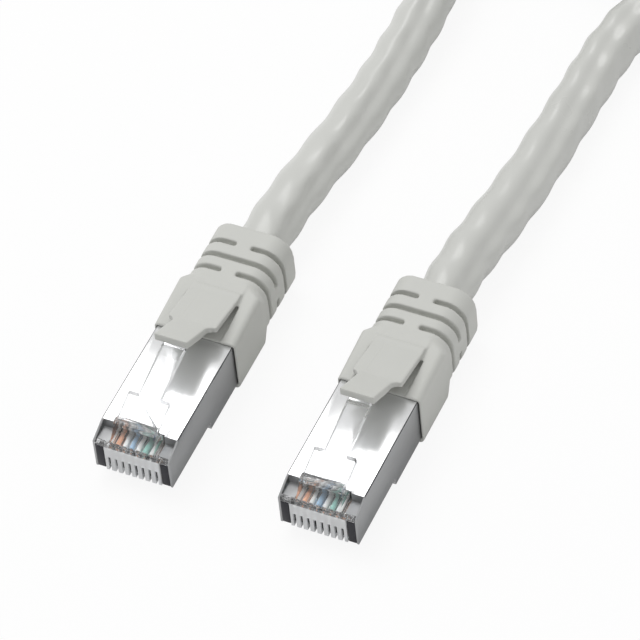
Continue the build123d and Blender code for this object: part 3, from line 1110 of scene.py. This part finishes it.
@dataclass
class Studio:
    """White table, white surround, one soft lamp and a long lens over the two noses."""

    azimuth: float = 29.18
    elevation: float = 49.03
    roll: float = -6.62
    distance: float = 702.6
    rise: float = 29.0
    slide: float = 0.05
    lens: float = 291.2
    sensor: float = 36.0
    ambient: float = 0.58
    key_spot: Point = (-0.35, 0.25, 0.85)
    key_size: float = 0.7
    key_power: float = 4.6
    table_size: float = 8.0
    table_drop: float = 0.02
    table_white: Colour = (0.92, 0.92, 0.92)
    table_glow: float = 0.9

    def build(self) -> None:
        """Place the camera, the table, the surround and the lamp."""
        self._camera()
        self._table()
        self._surround()
        self._key_lamp()
        bpy.context.scene.view_settings.view_transform = "Standard"

    def _camera(self) -> None:
        """Add the camera, aimed at nose a and raised over it."""
        angles = (self.azimuth, self.elevation, self.roll)
        azimuth, elevation, roll = (math.radians(angle) for angle in angles)
        flat = math.cos(elevation)
        back = Vector((math.sin(azimuth) * flat, -math.cos(azimuth) * flat, math.sin(elevation)))
        level = Vector((math.cos(azimuth), math.sin(azimuth), 0.0))
        upright = back.cross(level)
        across = level * math.cos(roll) + upright * math.sin(roll)
        up = upright * math.cos(roll) - level * math.sin(roll)
        nose = Vector(PlugPlace(End.A).at(0, 0, 0))
        data = bpy.data.cameras.new("camera")
        data.lens = self.lens
        data.sensor_width = self.sensor
        data.clip_start = 0.01
        camera = bpy.data.objects.new("camera", data)
        bpy.context.scene.collection.objects.link(camera)
        turn = Matrix((across, up, back)).transposed().to_4x4()
        spot = nose + (back * self.distance + up * self.rise + across * self.slide) * MM
        camera.matrix_world = Matrix.Translation(spot) @ turn
        bpy.context.scene.camera = camera

    def _table(self) -> None:
        """Add the white table, which keeps a faint shadow."""
        bpy.ops.object.select_all(action="DESELECT")
        bpy.ops.mesh.primitive_plane_add(
            size=self.table_size, location=(0.0, 0.0, -self.table_drop * MM)
        )
        floor = bpy.context.object
        floor.name = "table"
        recipe = Recipe("table_white")
        plain = recipe.node("ShaderNodeBsdfDiffuse", inputs={"Color": (*self.table_white, 1.0)})
        glow = recipe.node("ShaderNodeEmission", inputs={"Color": WHITE, "Strength": 1.0})
        seen = recipe.value("ShaderNodeLightPath", out="Is Camera Ray")
        floor.data.materials.append(recipe.close(recipe.mix(seen * self.table_glow, plain, glow)))

    def _surround(self) -> None:
        """Set a surround that the camera sees as white, and that lights the piece evenly."""
        world = bpy.data.worlds.new("studio")
        bpy.context.scene.world = world
        world.use_nodes = True
        tree = world.node_tree
        tree.nodes.clear()
        output = tree.nodes.new("ShaderNodeOutputWorld")
        light = tree.nodes.new("ShaderNodeBackground")
        light.inputs["Strength"].default_value = self.ambient
        white = tree.nodes.new("ShaderNodeBackground")
        white.inputs["Color"].default_value = WHITE
        light.inputs["Color"].default_value = WHITE
        seen = tree.nodes.new("ShaderNodeLightPath")
        mixed = tree.nodes.new("ShaderNodeMixShader")
        tree.links.new(seen.outputs["Is Camera Ray"], mixed.inputs[0])
        tree.links.new(light.outputs[0], mixed.inputs[1])
        tree.links.new(white.outputs[0], mixed.inputs[2])
        tree.links.new(mixed.outputs[0], output.inputs["Surface"])

    def _key_lamp(self) -> None:
        """Add the square soft lamp, aimed at the plugs."""
        data = bpy.data.lights.new("key", "AREA")
        data.shape = "SQUARE"
        data.size = self.key_size
        data.energy = self.key_power
        lamp = bpy.data.objects.new("key", data)
        bpy.context.scene.collection.objects.link(lamp)
        lamp.location = self.key_spot
        lamp.rotation_euler = (-Vector(self.key_spot)).to_track_quat("-Z", "Y").to_euler()


# ---------------------------------------------------------------- the whole cable


class PatchCable:
    """Builds and dresses every piece of the cable.

    The places are in a plug end's own millimetres.
    """

    COMB_DEPTH = 0.75
    COMB_RISE = 4.75
    PANEL_CENTRE = (0.7, 24.5, 9.5)

    def __init__(self) -> None:
        """Make the finishes that the pieces share."""
        _, comb_rear, comb_top = PlugPlace(End.A).at(0.0, self.COMB_DEPTH, self.COMB_RISE)
        self.clear = ClearPlastic(comb_rear, comb_top).build("clear_polycarbonate")
        # Polished nickel: its metallic share under 1 mixes in a pale diffuse part, painted light
        # that brightens its reflections.
        polished = PlatedSheet((0.86, 0.865, 0.87), 0.16, 0.0, 0.62).build("nickel_polished")
        # Drawn nickel: real drawn lines, with its base colour darkened as a painted dark reflection.
        drawn = PlatedSheet((0.40, 0.405, 0.41), 0.34, 1.0).build("nickel_drawn_painted_dark")
        # Near black nickel: a painted dark reflection for the lips and the long edges' fillets.
        dark = PlatedSheet((0.045, 0.045, 0.05), 0.10, 0.0).build("nickel_shaded")
        chosen = {SheetFace.POLISHED: polished, SheetFace.DRAWN_PAINTED_DARK: drawn, SheetFace.DARK: dark}
        self.sheet = [chosen[face] for face in SheetFace]
        self.jacket = JacketSkin().build("lead_jacket_grey")

    def build_end(self, end: End) -> None:
        """Build one plug end.

        Args:
            end: Which end.
        """
        place = PlugPlace(end)
        tag = end.value
        body = ClearBody(place).build()
        Workbench.dress(body, [self.clear], "clear_plastic")
        sheet = ShieldSheet(place).build()
        Workbench.dress(sheet, self.sheet, "nickel_shield")
        skin = BootSkin(place).build()
        grey = MouldedSkin(place.at(*self.PANEL_CENTRE)).build(f"boot_grey_{tag}")
        Workbench.dress(skin, [grey], "boot_grey")
        self._dress_nodes(tag)
        self._report(body, sheet, skin)

    def _dress_nodes(self, tag: str) -> None:
        """Give the inner pieces their finishes."""
        finishes = {
            "contacts": BladePlating(),
            "load_bar": CoreInsulation((0.80, 0.80, 0.78)),
            "separator": CoreInsulation((0.82, 0.82, 0.80)),
            "wires_white": CoreInsulation((0.86, 0.86, 0.84)),
            "wire_orange": CoreInsulation((0.86, 0.42, 0.24)),
            "wire_green": CoreInsulation((0.34, 0.66, 0.58)),
            "wire_blue": CoreInsulation((0.36, 0.55, 0.74)),
            "wire_brown": CoreInsulation((0.36, 0.20, 0.12)),
            "conductors": BareMetal((0.85, 0.50, 0.34)),
            "screen": BareMetal((0.62, 0.62, 0.62), 2200.0),
            "drain_wire": BareMetal((0.70, 0.70, 0.70)),
            "crimp_sleeve": BareMetal((0.66, 0.66, 0.65), 900.0),
        }
        for name, finish in finishes.items():
            self._paint(f"{name}_{tag}", finish.build(f"{name}_finish_{tag}"))
        self._paint(f"jacket_end_{tag}", self.jacket)

    @staticmethod
    def _paint(node: str, material: bpy.types.Material) -> None:
        """Assign a material to a CAD node's slots."""
        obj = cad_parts[node]
        if not obj.material_slots:
            obj.data.materials.append(material)
        for slot in obj.material_slots:
            slot.material = material

    def build_lead(self) -> None:
        """Build the strap and the lead."""
        strap = Strap().build()
        Workbench.dress(strap, [HookLoop().build("hook_and_loop")], "tie_black")
        jacket = Lead().build(strap)
        Workbench.dress(jacket, [self.jacket], "jacket_grey")
        self._report(strap, jacket)

    @staticmethod
    def _report(*pieces: bpy.types.Object) -> None:
        """Log each finished piece."""
        for piece in pieces:
            LOG.info("built %s with %d faces", piece.name, len(piece.data.polygons))


def main() -> None:
    """Build the studio, the lead and the two plug ends."""
    logging.basicConfig(level=logging.INFO, format="%(name)s: %(message)s")
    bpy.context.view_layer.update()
    Studio().build()
    cable = PatchCable()
    cable.build_lead()
    for end in End:
        cable.build_end(end)


if __name__ == "__main__":
    main()
